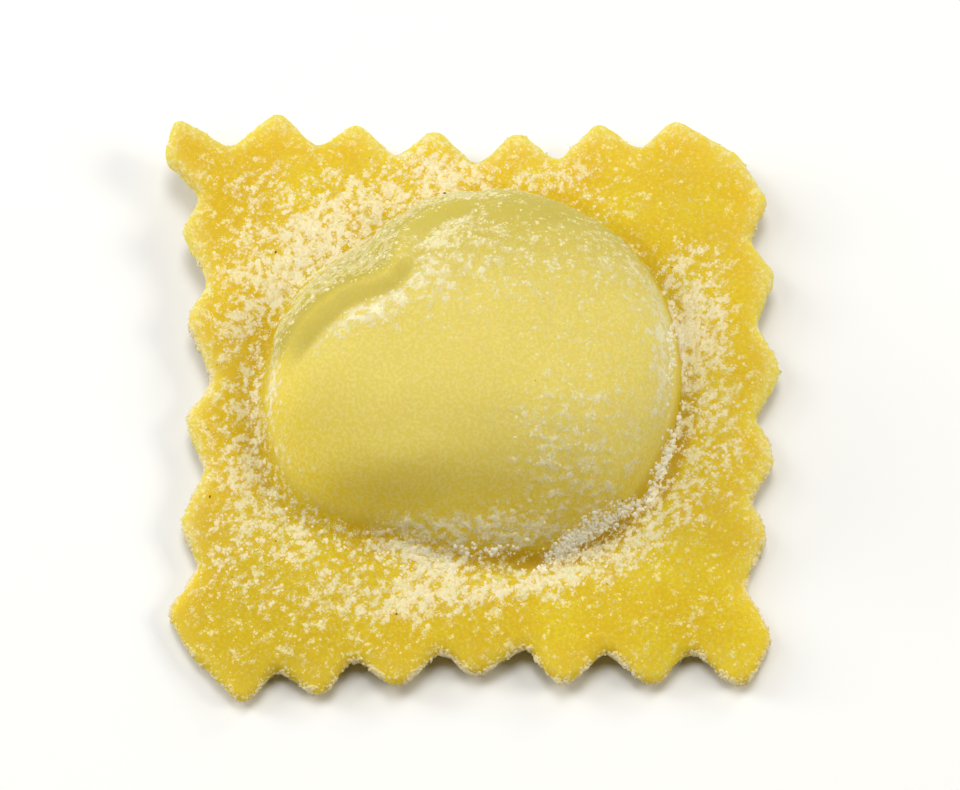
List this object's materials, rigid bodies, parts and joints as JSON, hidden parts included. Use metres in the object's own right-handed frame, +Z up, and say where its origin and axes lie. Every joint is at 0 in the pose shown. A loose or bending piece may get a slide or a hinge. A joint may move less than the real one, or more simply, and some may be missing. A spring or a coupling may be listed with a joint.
{
  "type": "ravioli",
  "caption": "Square egg pasta raviolo with a fluted edge, a domed filling and a fold on one shoulder, uncooked and dusted with semolina.",
  "frame": {"origin": "bottom centre of the bounding box, on the table under the dome", "axes": "+Z up, -Y towards the viewer of the near edge, +X to the viewer's right; the far left corner tab points to -X +Y"},
  "size_m": [0.052, 0.0528, 0.0126],
  "materials": {
    "egg_pasta": "fresh egg pasta dough, dull and slightly translucent, paler over the filling",
    "semolina_flour": "dry semolina flour, pale cream loose grains and pressed-in dust"
  },
  "bodies": {
    "root": {"raviolo": "egg_pasta"}
  },
  "joints": []
}
